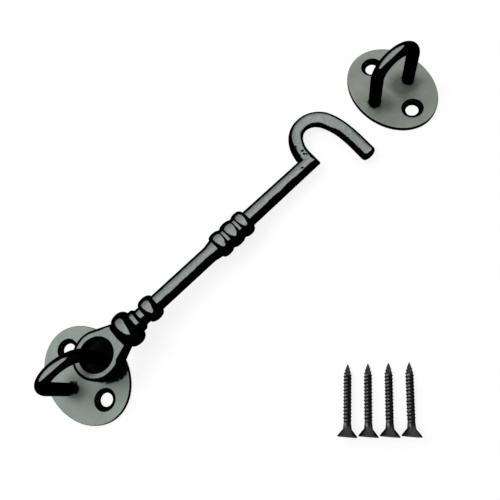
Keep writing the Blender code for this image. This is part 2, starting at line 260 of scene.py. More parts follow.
def cut(piece, other, operation):
    # Joins the other piece or takes it away, and removes it.
    boolean = piece.modifiers.new("cut", "BOOLEAN")
    boolean.operation = operation
    boolean.solver = "MANIFOLD"
    boolean.material_mode = "TRANSFER"
    boolean.object = other
    settle(piece)
    bpy.data.objects.remove(other, do_unlink=True)


def settle(piece):
    # Writes the modifiers' result into the mesh.
    graph = bpy.context.evaluated_depsgraph_get()
    mesh = bpy.data.meshes.new_from_object(piece.evaluated_get(graph))
    piece.modifiers.clear()
    piece.data = mesh


def soften(piece):
    # Keeps the flat faces flat in shading while their rounded edges stay smooth.
    weighted = piece.modifiers.new("flats", "WEIGHTED_NORMAL")
    weighted.keep_sharp = True
    weighted.weight = 80


def press_in(piece, depths):
    # Moves each point inwards by its own depth.
    normals = [vert.normal.copy() for vert in piece.data.vertices]
    for vert, normal, depth in zip(piece.data.vertices, normals, depths):
        vert.co -= normal * depth


def add_mark(piece, name, domain, values):
    # Stores one number for each point or face corner, for the material to read.
    marks = piece.data.attributes.new(name, "FLOAT", domain)
    for mark, value in zip(marks.data, values):
        mark.value = value


def mount(piece, place, body, slot, *nodes):
    # Moves the piece to its place, on the body that carries it and instead of the solids.
    piece.data.transform(place)
    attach(piece, body)
    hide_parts(*nodes)


def uneven(point, size):
    # Smooth noise between minus one and one, with bumps of about the given size.
    return noise.noise(point / size)


# Materials


class Nodes:
    # A short way to add and join shader nodes.
    def __init__(self, name):
        self.material = bpy.data.materials.new(name)
        self.material.use_nodes = True
        self.tree = self.material.node_tree
        self.shader = self.tree.nodes["Principled BSDF"]
        self.place = self.add("ShaderNodeTexCoord")

    def add(self, kind, **settings):
        node = self.tree.nodes.new(kind)
        for name, value in settings.items():
            setattr(node, name, value)
        return node

    def join(self, source, target):
        self.tree.links.new(source, target)

    def noise(self, size, detail=3.0, roughness=0.5):
        # Noise whose blotches are about the given size in metres.
        node = self.add("ShaderNodeTexNoise")
        node.inputs["Scale"].default_value = 1 / size
        node.inputs["Detail"].default_value = detail
        node.inputs["Roughness"].default_value = roughness
        self.join(self.place.outputs["Object"], node.inputs["Vector"])
        return node.outputs["Fac"]

    def spread(self, source, low, high, to_low, to_high):
        node = self.add("ShaderNodeMapRange", interpolation_type="SMOOTHSTEP")
        node.inputs["From Min"].default_value = low
        node.inputs["From Max"].default_value = high
        node.inputs["To Min"].default_value = to_low
        node.inputs["To Max"].default_value = to_high
        self.join(source, node.inputs["Value"])
        return node.outputs["Result"]

    def math(self, operation, first, second):
        node = self.add("ShaderNodeMath", operation=operation)
        for socket, value in zip(node.inputs, (first, second)):
            if isinstance(value, float):
                socket.default_value = value
            else:
                self.join(value, socket)
        return node.outputs["Value"]

    def facing(self, direction):
        # How far the surface faces a direction that is fixed to the piece itself.
        node = self.add("ShaderNodeVectorMath", operation="DOT_PRODUCT")
        self.join(self.place.outputs["Normal"], node.inputs[0])
        node.inputs[1].default_value = direction
        return node.outputs["Value"]

    def distance(self, place):
        node = self.add("ShaderNodeVectorMath", operation="DISTANCE")
        self.join(self.place.outputs["Object"], node.inputs[0])
        node.inputs[1].default_value = place
        return node.outputs["Value"]

    def mark(self, name):
        return self.add("ShaderNodeAttribute", attribute_name=name).outputs["Fac"]

    def colours(self, factor, first, second):
        node = self.add("ShaderNodeMix", data_type="RGBA")
        self.join(factor, node.inputs["Factor"])
        for socket, value in ((node.inputs["A"], first), (node.inputs["B"], second)):
            if isinstance(value, tuple):
                socket.default_value = (*value, 1.0)
            else:
                self.join(value, socket)
        return node.outputs["Result"]

    def bump(self, height, distance, before=None):
        node = self.add("ShaderNodeBump")
        node.inputs["Distance"].default_value = distance
        node.inputs["Strength"].default_value = 1.0
        self.join(height, node.inputs["Height"])
        if before:
            self.join(before, node.inputs["Normal"])
        return node.outputs["Normal"]

    def finish(self, colour, roughness, normal, metallic, edge=1.0):
        self.join(colour, self.shader.inputs["Base Color"])
        self.join(roughness, self.shader.inputs["Roughness"])
        self.join(normal, self.shader.inputs["Normal"])
        self.shader.inputs["Metallic"].default_value = metallic
        self.shader.inputs["Specular Tint"].default_value = (edge, edge, edge, 1.0)
        return self.material


BLACK = (0.0015, 0.0015, 0.0015)
PAINTED_SHADE_BLACK = (0.003, 0.003, 0.003)

# Painted shade on the plates: dark spots around the staples' feet, broad soft shade between
# the legs and, on the pivot plate, the eye's painted shadow. In millimetres on the plate but for
# the last: (along, across, radius of the black, radius where it has faded, darkness)
PIVOT_PAINTED_SHADE = [
    (-7.4, -0.4, 2.2, 3.8, 1.0),
    (-6.5, -1.0, 2.5, 8.0, 0.4),
    # The eye's painted shadow on the pivot plate.
    (12.5, -0.5, 11.3, 12.3, 1.0),
]
KEEPER_PAINTED_SHADE = [
    (-10.4, -1.6, 2.2, 3.6, 1.0),
    (7.2, -1.6, 2.2, 3.6, 1.0),
    (-8.5, -3.0, 2.5, 8.0, 0.4),
    (4.5, -2.5, 3.0, 9.0, 0.55),
]


def ragged(nodes, height):
    # A ragged edge for the painted highlight, which lies where the height is above nought.
    fine = nodes.spread(nodes.noise(0.8 * MM), 0.3, 0.7, -0.02, 0.02)
    broad = nodes.spread(nodes.noise(6 * MM, 1.0), 0.3, 0.7, -0.03, 0.03)
    highlight_level = nodes.math("ADD", nodes.math("ADD", height, fine), broad)
    return nodes.spread(highlight_level, -0.025, 0.025, 0.0, 1.0)


def black_with_painted_highlight(name, cool, warm):
    # Black finish with a painted highlight in a grey that drifts between a cool and a warm tone,
    # standing in for the light's reflection. The mesh carries its own measure of where it is painted.
    nodes = Nodes(name)
    drift = nodes.spread(nodes.noise(3.5 * MM, 2.0), 0.35, 0.65, 0.0, 1.0)
    tint = nodes.colours(drift, cool, warm)
    grain = nodes.spread(nodes.noise(0.9 * MM, 4.0, 0.6), 0.35, 0.7, 0.0, 1.0)
    sheen = nodes.colours(grain, tint, tuple(0.76 * value for value in cool))
    # The painted highlight is painted darker towards the side that faces along Y, as painted shade.
    side = nodes.spread(nodes.facing((0.0, 1.0, 0.0)), -0.2, 0.5, 0.0, 1.0)
    sheen = nodes.colours(side, sheen, tuple(0.4 * value for value in warm))
    # Black, with the painted highlight where the mesh's measure is above nought.
    colour = nodes.colours(ragged(nodes, nodes.mark("highlight_paint")), BLACK, sheen)
    colour = nodes.colours(nodes.spread(nodes.mark("pit"), 0.1, 0.45, 0.0, 1.0), colour, BLACK)
    roughness = nodes.spread(nodes.noise(5 * MM), 0.3, 0.7, 0.3, 0.42)
    rough_cast = nodes.bump(nodes.noise(1.3 * MM, 1.0), 0.016 * MM)
    normal = nodes.bump(nodes.noise(0.3 * MM), 0.004 * MM, rough_cast)
    return nodes.finish(colour, roughness, normal, 1.0, 0.0)


def plate_grey(name, dark, light, place, painted_shades):
    # Grey with cloudy patches, partly a painted reflection of the overhead light, and painted shade in
    # spots such as around the staple's feet.
    nodes = Nodes(name)
    clouds = nodes.spread(nodes.noise(11 * MM, 4.0, 0.6), 0.3, 0.7, 0.0, 1.0)
    colour = nodes.colours(clouds, dark, light)
    specks = nodes.spread(nodes.noise(0.5 * MM), 0.55, 0.8, 0.0, 1.0)
    colour = nodes.colours(specks, colour, tuple(0.75 * value for value in dark))
    sway = nodes.spread(nodes.noise(2.2 * MM, 4.0), 0.3, 0.7, -0.5 * MM, 0.5 * MM)
    darkness = 0.0
    for along, across, inner, outer, strength in painted_shades:
        middle = place @ Vector((along * MM, across * MM, PLATE_THICKNESS))
        away = nodes.math("ADD", nodes.distance(middle), sway)
        spot = nodes.spread(away, inner * MM, outer * MM, strength, 0.0)
        darkness = nodes.math("MAXIMUM", darkness, spot)
    # The spots are painted shade, black at their middles.
    colour = nodes.colours(darkness, colour, PAINTED_SHADE_BLACK)
    nodes.join(nodes.spread(darkness, 0.0, 1.0, 0.5, 0.0), nodes.shader.inputs["Specular IOR Level"])
    roughness = nodes.spread(nodes.noise(4 * MM), 0.3, 0.7, 0.44, 0.56)
    swell = nodes.bump(nodes.noise(3.2 * MM), 0.03 * MM)
    normal = nodes.bump(nodes.noise(0.35 * MM), 0.006 * MM, swell)
    return nodes.finish(colour, roughness, normal, 0.35)


def hole_black(name):
    # The holes' walls and the plates' edges and backs.
    nodes = Nodes(name)
    blotches = nodes.spread(nodes.noise(1.2 * MM), 0.4, 0.8, 0.0, 1.0)
    colour = nodes.colours(blotches, BLACK, (0.007, 0.007, 0.0065))
    roughness = nodes.spread(nodes.noise(0.8 * MM), 0.3, 0.7, 0.4, 0.6)
    normal = nodes.bump(nodes.noise(0.5 * MM), 0.02 * MM)
    return nodes.finish(colour, roughness, normal, 1.0, 0.0)


def screw_black(name):
    # The threads carry a painted highlight along the side that faces the light, and the head and point
    # do not.
    nodes = Nodes(name)
    blotches = nodes.spread(nodes.noise(0.9 * MM), 0.35, 0.75, 0.0, 1.0)
    colour = nodes.colours(blotches, (0.15, 0.16, 0.153), (0.33, 0.35, 0.335))
    # A painted highlight on the side of the threads that faces the light.
    thread_highlight = nodes.spread(nodes.facing((-0.04, 0.78, 0.63)), 0.8, 0.92, 0.0, 1.0)
    colour = nodes.colours(thread_highlight, (0.012, 0.012, 0.011), colour)
    colour = nodes.colours(nodes.mark("unhighlighted"), colour, (0.05, 0.051, 0.048))
    roughness = nodes.spread(nodes.noise(1.6 * MM), 0.3, 0.7, 0.3, 0.45)
    normal = nodes.bump(nodes.noise(0.25 * MM), 0.006 * MM)
    return nodes.finish(colour, roughness, normal, 1.0, 0.0)


# Plates


def oval_ring(long_half, short_half, height):
    ring = []
    for i in range(OVAL_SIDES):
        angle = 2 * math.pi * i / OVAL_SIDES
        ring.append(Vector((short_half * math.cos(angle), long_half * math.sin(angle), height)))
    return ring


def make_plate(name, face, hole, staple_place):
    rings = []
    for i in range(ROUND_STEPS + 1):
        angle = math.pi / 2 * i / ROUND_STEPS
        inset = PLATE_TRIM + PLATE_BACK_ROUNDING * (1 - math.sin(angle))
        height = PLATE_BACK_ROUNDING * (1 - math.cos(angle))
        rings.append(oval_ring(PLATE_LENGTH / 2 - inset, PLATE_WIDTH / 2 - inset, height))
    for i in range(ROUND_STEPS + 1):
        angle = math.pi / 2 * i / ROUND_STEPS
        inset = PLATE_TRIM + PLATE_ROUNDING * (1 - math.cos(angle))
        height = PLATE_THICKNESS - PLATE_ROUNDING * (1 - math.sin(angle))
        rings.append(oval_ring(PLATE_LENGTH / 2 - inset, PLATE_WIDTH / 2 - inset, height))
    bm = bmesh.new()
    loft(bm, rings)
    plate = make_piece(name, bm)
    plate.data.materials.append(face)
    cut(plate, make_hole_cutter(hole, staple_place), "DIFFERENCE")
    # Only the faces that look up take the grey with its painted reflection; the rest take the black.
    dark = plate.data.materials.find(hole.name)
    for polygon in plate.data.polygons:
        faces_up = polygon.normal.z >= 0.8
        if not faces_up:
            polygon.material_index = dark
    soften(plate)
    return plate


def make_hole_cutter(hole, staple_place):
    over = PLATE_THICKNESS
    top = PLATE_THICKNESS
    slope = (COUNTERSINK_RADIUS - HOLE_RADIUS) / COUNTERSINK_DEPTH
    screw_hole = [
        (-over, HOLE_RADIUS),
        (top - COUNTERSINK_DEPTH, HOLE_RADIUS),
        (top - COUNTERSINK_EDGE, COUNTERSINK_RADIUS - slope * COUNTERSINK_EDGE),
        (top, COUNTERSINK_RADIUS + COUNTERSINK_EDGE),
        (top + over, COUNTERSINK_RADIUS + COUNTERSINK_EDGE),
    ]
    mouth = PEENED_RADIUS + PEENED_GAP
    floor = PEENED_DEPTH + PEENED_GAP
    rivet_hole = [
        (-over, mouth + (mouth - TENON_RADIUS) / floor * over),
        (floor, TENON_RADIUS + PEENED_GAP),
        (top + over, TENON_RADIUS + PEENED_GAP),
    ]
    bm = bmesh.new()
    for side in (-1, 1):
        loft(bm, turned_rings(screw_hole, HOLE_SIDES, Vector((0.0, side * HOLE_SPACING / 2, 0.0))))
        leg = staple_place + Vector((side * LEG_REACH, 0.0, 0.0))
        loft(bm, turned_rings(rivet_hole, HOLE_SIDES, leg))
    cutter = make_piece("hole_cutter", bm)
    cutter.data.materials.append(hole)
    return cutter


# Staples


def leg_stations(side):
    # From the peened end of the tenon, over the rounded end of the leg, to the arch.
    up = Vector((0.0, 0.0, 1.0))
    path = [
        (0.02 * MM, 0.55 * PEENED_RADIUS),
        (0.1 * MM, 0.9 * PEENED_RADIUS),
        (0.22 * MM, PEENED_RADIUS),
        (PEENED_DEPTH, TENON_RADIUS),
        (LEG_END_HEIGHT, TENON_RADIUS),
    ]
    for i in range(1, ROUND_STEPS + 1):
        angle = math.pi / 2 * i / ROUND_STEPS
        height = LEG_END_HEIGHT + LEG_END_ROUNDING * (1 - math.cos(angle))
        path.append((height, STAPLE_RADIUS - LEG_END_ROUNDING * (1 - math.sin(angle))))
    path.append((STAPLE_HEIGHT - LEG_REACH, STAPLE_RADIUS))
    return [(Vector((side * LEG_REACH, 0.0, height)), up, up, radius) for height, radius in path]


def staple_highlight_paint(normal, swing, lean):
    # Above nought where a highlight is painted: an oval along the top of the arch, whose
    # middle lies at the swing along it and the lean across it.
    along = math.atan2(normal.x, normal.z) - swing
    across = math.asin(max(-1.0, min(1.0, normal.y))) - lean
    return 0.5 * (1 - math.hypot(along / STAPLE_HIGHLIGHT_ALONG, across / STAPLE_HIGHLIGHT_ACROSS))


def make_staple(name, metal, swing, lean):
    spring = STAPLE_HEIGHT - LEG_REACH
    stations = leg_stations(-1)
    for i in range(1, ARCH_STEPS):
        angle = math.pi * (1 - i / ARCH_STEPS)
        point = Vector((LEG_REACH * math.cos(angle), 0.0, spring + LEG_REACH * math.sin(angle)))
        along = Vector((math.sin(angle), 0.0, -math.cos(angle)))
        stations.append((point, along, along, STAPLE_RADIUS))
    down = Vector((0.0, 0.0, -1.0))
    stations += [(point, down, down, radius) for point, _, _, radius in reversed(leg_stations(1))]
    rings = refine(swept_rings(stations, Vector((0.0, 1.0, 0.0)), ROD_SIDES), ROD_SPACING)
    bm = bmesh.new()
    loft(bm, rings)
    staple = make_piece(name, bm)
    normals = [vert.normal.copy() for vert in staple.data.vertices]
    # Where the highlight is painted on the arch, stored for the material.
    add_mark(staple, "highlight_paint", "POINT", [staple_highlight_paint(normal, swing, lean) for normal in normals])
    dents = [0.5 + 0.5 * uneven(vert.co, 5 * MM) for vert in staple.data.vertices]
    press_in(staple, [ROD_UNEVENNESS * dent for dent in dents])
    staple.data.materials.append(metal)
    return staple


# Hook


def bead(start, length, foot, crest, far_foot):
    profile = []
    for i in range(BEAD_STEPS + 1):
        angle = math.pi * i / BEAD_STEPS
        base = foot if angle < math.pi / 2 else far_foot
        along = start + length / 2 * (1 - math.cos(angle))
        profile.append((along, base + (crest - base) * math.sin(angle)))
    return profile


def cove(start, length, rim, floor, far_rim):
    profile = []
    for i in range(BEAD_STEPS + 1):
        t = i / BEAD_STEPS
        base = rim if t < 0.5 else far_rim
        depth = (1 - math.cos(2 * math.pi * t)) / 2
        profile.append((start + length * t, base + (floor - base) * depth))
    return profile


def shaft_profile():
    # (distance from the eye's centre, radius) from the neck to just before the corner.
    at = NECK_LENGTH
    profile = [(at, COLLAR_RADIUS), (at + COLLAR_LENGTH, COLLAR_RADIUS)]
    at += COLLAR_LENGTH
    profile += bead(at, LARGE_BEAD_LENGTH, COLLAR_RADIUS, LARGE_BEAD_RADIUS, SHOULDER_RADIUS)[1:]
    at += LARGE_BEAD_LENGTH
    profile.append((at + SHOULDER_LENGTH, SHOULDER_RADIUS))
    at += SHOULDER_LENGTH
    profile += cove(at, COVE_LENGTH, SHOULDER_RADIUS, COVE_RADIUS, COVE_RADIUS)[1:]
    at += COVE_LENGTH
    profile += bead(at, SMALL_BEAD_LENGTH, COVE_RADIUS, SMALL_BEAD_RADIUS, SHAFT_RADIUS)[1:]
    at += SMALL_BEAD_LENGTH
    profile.append((at + UPPER_SHAFT_LENGTH, SHAFT_RADIUS))
    at += UPPER_SHAFT_LENGTH
    profile.append((at + FLARE_LENGTH, FLARE_RADIUS))
    at += FLARE_LENGTH
    for i in range(GROUP_BEAD_COUNT):
        first = i == 0
        last = i == GROUP_BEAD_COUNT - 1
        foot = FLARE_RADIUS if first else FILLET_RADIUS
        far_foot = SHAFT_RADIUS if last else FILLET_RADIUS
        profile += bead(at, GROUP_BEAD_LENGTH, foot, GROUP_BEAD_RADIUS, far_foot)[1:]
        at += GROUP_BEAD_LENGTH
        if not last:
            profile.append((at + FILLET_LENGTH, FILLET_RADIUS))
            at += FILLET_LENGTH
    profile.append((at + LOWER_SHAFT_LENGTH - 1.2 * CORNER_RADIUS, CORNER_RADIUS))
    return profile, at + LOWER_SHAFT_LENGTH


def heading(degrees):
    angle = math.radians(degrees)
    return Vector((math.cos(angle), math.sin(angle), 0.0))


def bend_stations(corner):
    # The rod's path from the corner over the crest, down the back and to the tip.
    # Each knot is (along from the corner, across, heading in degrees, radius).
    knots = [
        (0.017 * BEND_REACH, 1.25 * CORNER_RADIUS, 80, CORNER_RADIUS),
        (0.526 * BEND_REACH, BEND_RISE, 0, CREST_RADIUS),
        (0.928 * BEND_REACH, 0.6 * BEND_RISE, -70, SHOULDER_BEND_RADIUS),
        (BEND_REACH, -0.054 * TIP_DROP, -90, TIP_RADIUS),
        (BEND_REACH - TIP_LEAN, TIP_ROUNDING - TIP_DROP, -96, TIP_RADIUS),
    ]
    stations = []
    for (x0, y0, turn0, r0), (x1, y1, turn1, r1) in zip(knots, knots[1:]):
        start = Vector((corner + x0, y0, 0.0))
        end = Vector((corner + x1, y1, 0.0))
        swing = math.radians(abs(turn1 - turn0))
        handle = (end - start).length / (3 * math.cos(swing / 4) ** 2)
        steps = max(6, round(abs(turn1 - turn0) / 3))
        points = interpolate_bezier(
            start, start + handle * heading(turn0), end - handle * heading(turn1), end, steps + 1
        )
        for i in range(0 if not stations else 1, steps + 1):
            t = i / steps
            before = (points[i] - points[i - 1]).normalized() if i else heading(turn0)
            after = (points[i + 1] - points[i]).normalized() if i < steps else heading(turn1)
            stations.append((points[i], before, after, r0 + (r1 - r0) * t))
    end, _, along, radius = stations[-1]
    for i in range(1, ROUND_STEPS + 1):
        angle = math.pi / 2 * i / ROUND_STEPS
        ahead = end + along * (TIP_ROUNDING * math.sin(angle))
        stations.append((ahead, along, along, radius - TIP_ROUNDING * (1 - math.cos(angle))))
    return stations


def hook_rings():
    profile, corner = shaft_profile()
    along = Vector((1.0, 0.0, 0.0))
    stations = [(Vector((x, 0.0, 0.0)), along, along, radius) for x, radius in profile]
    bend = bend_stations(corner)
    corner_point = Vector((corner, 0.0, 0.0))
    stations.append((corner_point, along, (bend[0][0] - corner_point).normalized(), CORNER_RADIUS))
    rings = swept_rings(stations + bend, Vector((0.0, 0.0, 1.0)), HOOK_SIDES)
    return refine(rings, CAST_SPACING), corner


def eye_tangent():
    # The angle at which the neck's straight side leaves the round eye.
    half = NECK_WIDTH / 2
    end = NECK_LENGTH + COLLAR_LENGTH + NECK_SEAT
    return math.atan2(half, end) + math.acos(EYE_RADIUS / math.hypot(half, end))


def eye_outline():
    # A round eye that narrows along two tangent lines to the neck, which runs into the bead.
    half = NECK_WIDTH / 2
    end = NECK_LENGTH + COLLAR_LENGTH + NECK_SEAT
    tangent = eye_tangent()
    points = [Vector((end, -half, 0.0)), Vector((end, half, 0.0))]
    for i in range(EYE_STEPS + 1):
        angle = tangent + (2 * math.pi - 2 * tangent) * i / EYE_STEPS
        points.append(Vector((EYE_RADIUS * math.cos(angle), EYE_RADIUS * math.sin(angle), 0.0)))
    return points


def make_eye_blank():
    half = EYE_THICKNESS / 2
    bm = bmesh.new()
    base = bm.faces.new([bm.verts.new(point - Vector((0.0, 0.0, half))) for point in eye_outline()])
    grown = bmesh.ops.extrude_face_region(bm, geom=[base])
    top = [item for item in grown["geom"] if isinstance(item, bmesh.types.BMVert)]
    bmesh.ops.translate(bm, verts=top, vec=(0.0, 0.0, EYE_THICKNESS))
    rims = [edge for edge in bm.edges if abs(edge.verts[0].co.z - edge.verts[1].co.z) < half]
    bmesh.ops.bevel(
        bm, geom=rims, offset=EYE_EDGE_ROUNDING, segments=ROUND_STEPS, profile=0.5, affect="EDGES"
    )
    # A loop of points inside the edge of the two flat faces, across which the painted highlight gives
    # way to the black rim.
    flats = sorted(bm.faces, key=lambda face: face.calc_area())[-2:]
    bmesh.ops.inset_region(
        bm, faces=flats, thickness=1.5 * EYE_HIGHLIGHT_INSET, use_boundary=True, use_even_offset=True
    )
    return make_piece("eye_blank", bm)


def make_eye_bore():
    half = EYE_THICKNESS / 2
    upper = []
    for i in range(ROUND_STEPS + 1):
        angle = math.pi / 2 * i / ROUND_STEPS
        flare = EYE_BORE_ROUNDING * (1 - math.cos(angle))
        upper.append((half - EYE_BORE_ROUNDING * (1 - math.sin(angle)), EYE_BORE_RADIUS + flare))
    upper.append((half + EYE_THICKNESS, EYE_BORE_RADIUS + EYE_BORE_ROUNDING))
    lower = [(-height, radius) for height, radius in reversed(upper)]
    bm = bmesh.new()
    loft(bm, turned_rings(lower + upper, BORE_SIDES))
    return make_piece("eye_bore", bm)


# Casting pits by the corner and nicks along the bend, in millimetres from the eye's
# centre: (along, across, radius)
PITS = [
    (115.4, 8.6, 0.8),
    (114.8, 7.4, 0.7),
    (114.6, 6.6, 0.5),
    (116.3, 4.9, 0.7),
    (115.6, 3.4, 0.5),
    (116.4, 2.5, 0.6),
    (116.9, 0.6, 0.5),
    (110.5, -0.7, 0.55),
    (111.6, -2.5, 0.5),
    (133.2, -2.6, 0.7),
    (132.9, -3.9, 0.8),
    (133.4, -4.6, 0.6),
    (132.9, -5.9, 0.5),
]


def pit_depth(point):
    # Only the face that stands up from the table is pitted.
    if point.z < 0:
        return 0.0
    deepest = 0.0
    for along, across, radius in PITS:
        away = math.hypot(point.x - along * MM, point.y - across * MM) / (radius * MM)
        away += 0.5 * uneven(point, 0.4 * MM)
        deepest = max(deepest, 1 - away)
    return min(1.0, 2.5 * deepest)


def from_eye_edge(point):
    # Distance inwards from the outline of the eye and neck.
    across = abs(point.y)
    tangent = eye_tangent()
    if math.atan2(across, point.x) < tangent:
        return EYE_RADIUS - across * math.sin(tangent) - point.x * math.cos(tangent)
    return EYE_RADIUS - math.hypot(point.x, across)


def eye_highlight_paint(point, normal):
    # The eye's flat face carries a painted highlight inside its black rim.
    rim = (from_eye_edge(point) - EYE_HIGHLIGHT_INSET) / EYE_HIGHLIGHT_FADE
    return min(rim, EYE_LEAN - math.hypot(normal.x, normal.y))


def shaft_highlight_paint(point, normal):
    # A painted highlight strip along the shaft. It is wider on the beads and narrows over their ends,
    # but not over the flare, which leans by less than FLARE_LEAN.
    above = math.hypot(point.y, point.z) - 1.05 * FLARE_RADIUS
    raised = min(1.0, max(0.0, above) / BEAD_FADE)
    middle = STRIP_MIDDLE + (BEAD_MIDDLE - STRIP_MIDDLE) * raised
    half = STRIP_HALF + (BEAD_HALF - STRIP_HALF) * raised
    ends = max(0.0, abs(normal.x) - FLARE_LEAN * (1 - raised))
    return half - math.hypot(normal.y - middle, BEAD_TAPER * (1 - normal.y) * ends)


def bend_highlight_paint(point, normal, corner):
    # A painted highlight strip along the bend, whose middle and width drift as the bend turns.
    out = Vector((point.x - corner - BEND_REACH / 2, max(0.0, point.y), 0.0)).normalized()
    across = normal.dot(out)
    along = math.sqrt(max(0.0, 1 - normal.z ** 2 - across ** 2))
    middle = BEND_MIDDLE + BEND_MIDDLE_DRIFT.dot(out)
    half = BEND_HALF + BEND_HALF_DRIFT.dot(out)
    return half - math.hypot(across - middle, BEND_TAPER * along)


def highlight_paint_height(point, normal, corner):
    # Above nought where a highlight is painted on the hook. The side that lies towards the
    # table and the collar by the large bead stay black.
    if normal.z < 0:
        return -1.0
    if point.x < NECK_LENGTH + NEAR:
        return eye_highlight_paint(point, normal)
    if point.x < NECK_LENGTH + COLLAR_LENGTH + NECK_SEAT + NEAR:
        return -1.0
    bend = min(1.0, max(0.0, (point.x - corner) / BEND_FADE + 0.5))
    return (1 - bend) * shaft_highlight_paint(point, normal) + bend * bend_highlight_paint(point, normal, corner)


def make_hook(metal):
    rings, corner = hook_rings()
    bm = bmesh.new()
    loft(bm, rings)
    hook = make_piece("cast_hook", bm)
    cut(hook, make_eye_blank(), "UNION")
    cut(hook, make_eye_bore(), "DIFFERENCE")
    hook.data.materials.clear()
    hook.data.materials.append(metal)
    hook.data.set_sharp_from_angle(angle=SHARP_ANGLE)
    points = [vert.co.copy() for vert in hook.data.vertices]
    normals = [normal.vector.copy() for normal in hook.data.corner_normals]
    corners = [(points[loop.vertex_index], normal) for loop, normal in zip(hook.data.loops, normals)]
    # Where the highlight is painted, stored for the material.
    add_mark(hook, "highlight_paint", "CORNER", [highlight_paint_height(point, normal, corner) for point, normal in corners])
    pits = [pit_depth(point) for point in points]
    add_mark(hook, "pit", "POINT", pits)
    press_in(hook, [PIT_DEPTH * depth for depth in pits])
    soften(hook)
    return hook, corner


def hook_lie(corner):
    # The large bead clears the plate all the way round, and the bend lies on the table.
    large_bead = NECK_LENGTH + COLLAR_LENGTH + LARGE_BEAD_LENGTH / 2
    bead_height = PLATE_THICKNESS + SWING_CLEARANCE + LARGE_BEAD_RADIUS
    end_height = TABLE_CLEARANCE + SHOULDER_BEND_RADIUS
    droop = math.asin((bead_height - end_height) / (corner + BEND_REACH - large_bead))
    eye_height = bead_height + large_bead * math.sin(droop)
    place = Vector((LEG_REACH + EYE_SLACK_ALONG, EYE_SLACK_ACROSS, eye_height))
    return Matrix.Translation(place) @ Matrix.Rotation(droop, 4, "Y")


# Screws


def make_screw(metal):
    neck = SCREW_RIM + SCREW_CONE
    point = SCREW_LENGTH - SCREW_POINT_LENGTH
    body = [
        (0.0, SCREW_HEAD_RADIUS - 0.1 * MM),
        (0.1 * MM, SCREW_HEAD_RADIUS),
        (SCREW_RIM, SCREW_HEAD_RADIUS),
        (neck - 0.4 * MM, SCREW_SHANK_RADIUS),
        (neck + 1.0 * MM, 0.9 * SCREW_SHANK_RADIUS),
        (neck + 1.6 * MM, SCREW_CORE_RADIUS),
        (point, SCREW_CORE_RADIUS),
        (SCREW_LENGTH - SCREW_POINT_LENGTH / 3, SCREW_CORE_RADIUS * 0.5),
        (SCREW_LENGTH, SCREW_CORE_RADIUS * 0.08),
    ]
    bm = bmesh.new()
    loft(bm, turned_rings(body, SCREW_SIDES))
    screw = make_piece("screw_body", bm)
    cut(screw, make_thread(body, neck), "UNION")
    cut(screw, make_recess(), "DIFFERENCE")
    screw.data.materials.clear()
    screw.data.materials.append(metal)
    # The head and the point get no painted highlight.
    threaded = [neck - 0.3 * MM < vert.co.z < point for vert in screw.data.vertices]
    add_mark(screw, "unhighlighted", "POINT", [0.0 if thread_highlight else 1.0 for thread_highlight in threaded])
    return screw


def radius_at(profile, height):
    for (low, start), (high, end) in zip(profile, profile[1:]):
        if height <= high:
            return start + (end - start) * max(0.0, height - low) / (high - low)
    return profile[-1][1]


def make_thread(body, neck):
    # A right-hand ridge that grows out of the core below the head and fades at the point.
    start = neck + 0.6 * MM
    end = SCREW_LENGTH - 0.5 * MM
    turns = (end - start) / THREAD_PITCH
    steps = round(turns * SCREW_SIDES)
    rings = []
    for i in range(steps + 1):
        t = i / steps
        angle = 2 * math.pi * turns * t
        height = start + (end - start) * t
        core = radius_at(body, height)
        rise = min(1.0, 8 * t, 12 * (1 - t)) * min(1.0, 0.35 + 0.75 * core / SCREW_CORE_RADIUS)
        crest = min(SCREW_SHANK_RADIUS, 0.9 * core + THREAD_DEPTH * rise)
        root = 0.8 * core
        out = Vector((math.cos(angle), math.sin(angle), 0.0))
        foot, edge = (root, THREAD_BASE), (crest, THREAD_CREST)
        ring = []
        for side, (radius, width) in ((-1, foot), (-1, edge), (1, edge), (1, foot)):
            ring.append(out * radius + Vector((0.0, 0.0, height + side * width / 2)))
        rings.append(ring)
    bm = bmesh.new()
    loft(bm, rings)
    return make_piece("thread", bm)


def make_recess():
    half = SCREW_RECESS_SPAN / 2
    web = SCREW_RECESS_WIDTH / 2
    rings = []
    for height, scale in ((-SCREW_RECESS_DEPTH, 1.3), (SCREW_RECESS_DEPTH, 0.45)):
        ring = []
        for quarter in range(4):
            spin = Matrix.Rotation(quarter * math.pi / 2, 3, "Z")
            for x, y in ((web, web), (web, half * scale), (-web, half * scale)):
                ring.append(spin @ Vector((x, y, 0.0)) + Vector((0.0, 0.0, height)))
        rings.append(ring)
    bm = bmesh.new()
    loft(bm, rings)
    return make_piece("recess", bm)


